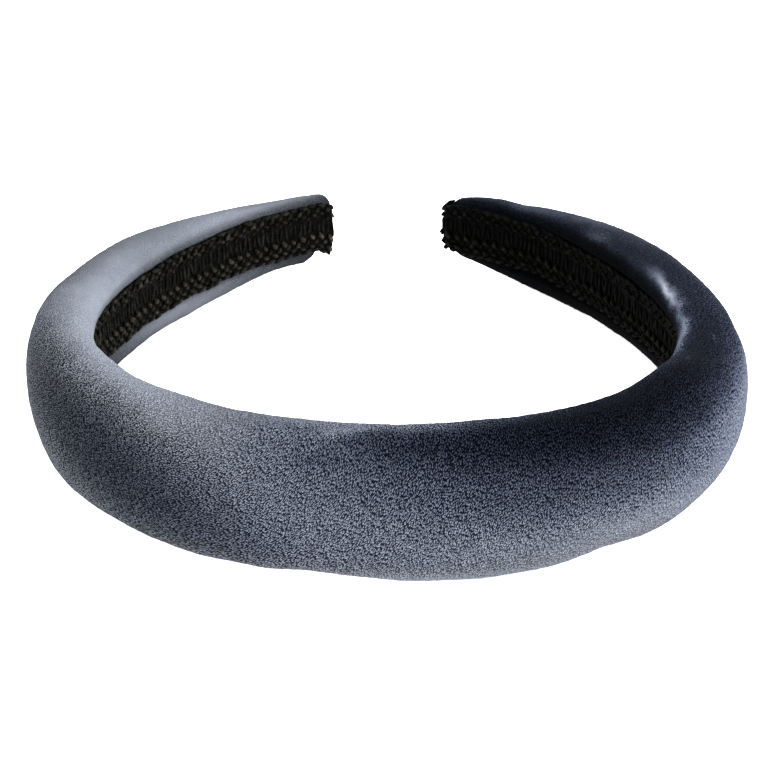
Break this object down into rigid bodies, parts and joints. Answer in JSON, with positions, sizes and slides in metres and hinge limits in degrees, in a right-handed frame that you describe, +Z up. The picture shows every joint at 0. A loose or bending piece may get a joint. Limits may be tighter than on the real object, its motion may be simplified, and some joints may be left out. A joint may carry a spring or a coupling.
{
  "type": "wide padded headband",
  "caption": "Wide padded velvet headband, an open C-shaped band that is thick and domed over the crown and narrow at its tips, lined inside with a braid strip.",
  "frame": {"origin": "middle of the underside of the part's own box, on the surface that it lies on", "axes": "+Z up from the surface, +X to the viewer's right from one side of the band to the other, -Y out through the crown, so that the two tips are at +Y"},
  "size_m": [0.1506, 0.146, 0.0344],
  "materials": {
    "velvet": "slate blue short-pile velvet with a strong nap sheen",
    "braid": "black knitted gimp braid, matt with faint highlights on its loops"
  },
  "bodies": {
    "root": {"padded_band": "velvet", "lining_braid": "braid"}
  },
  "joints": []
}
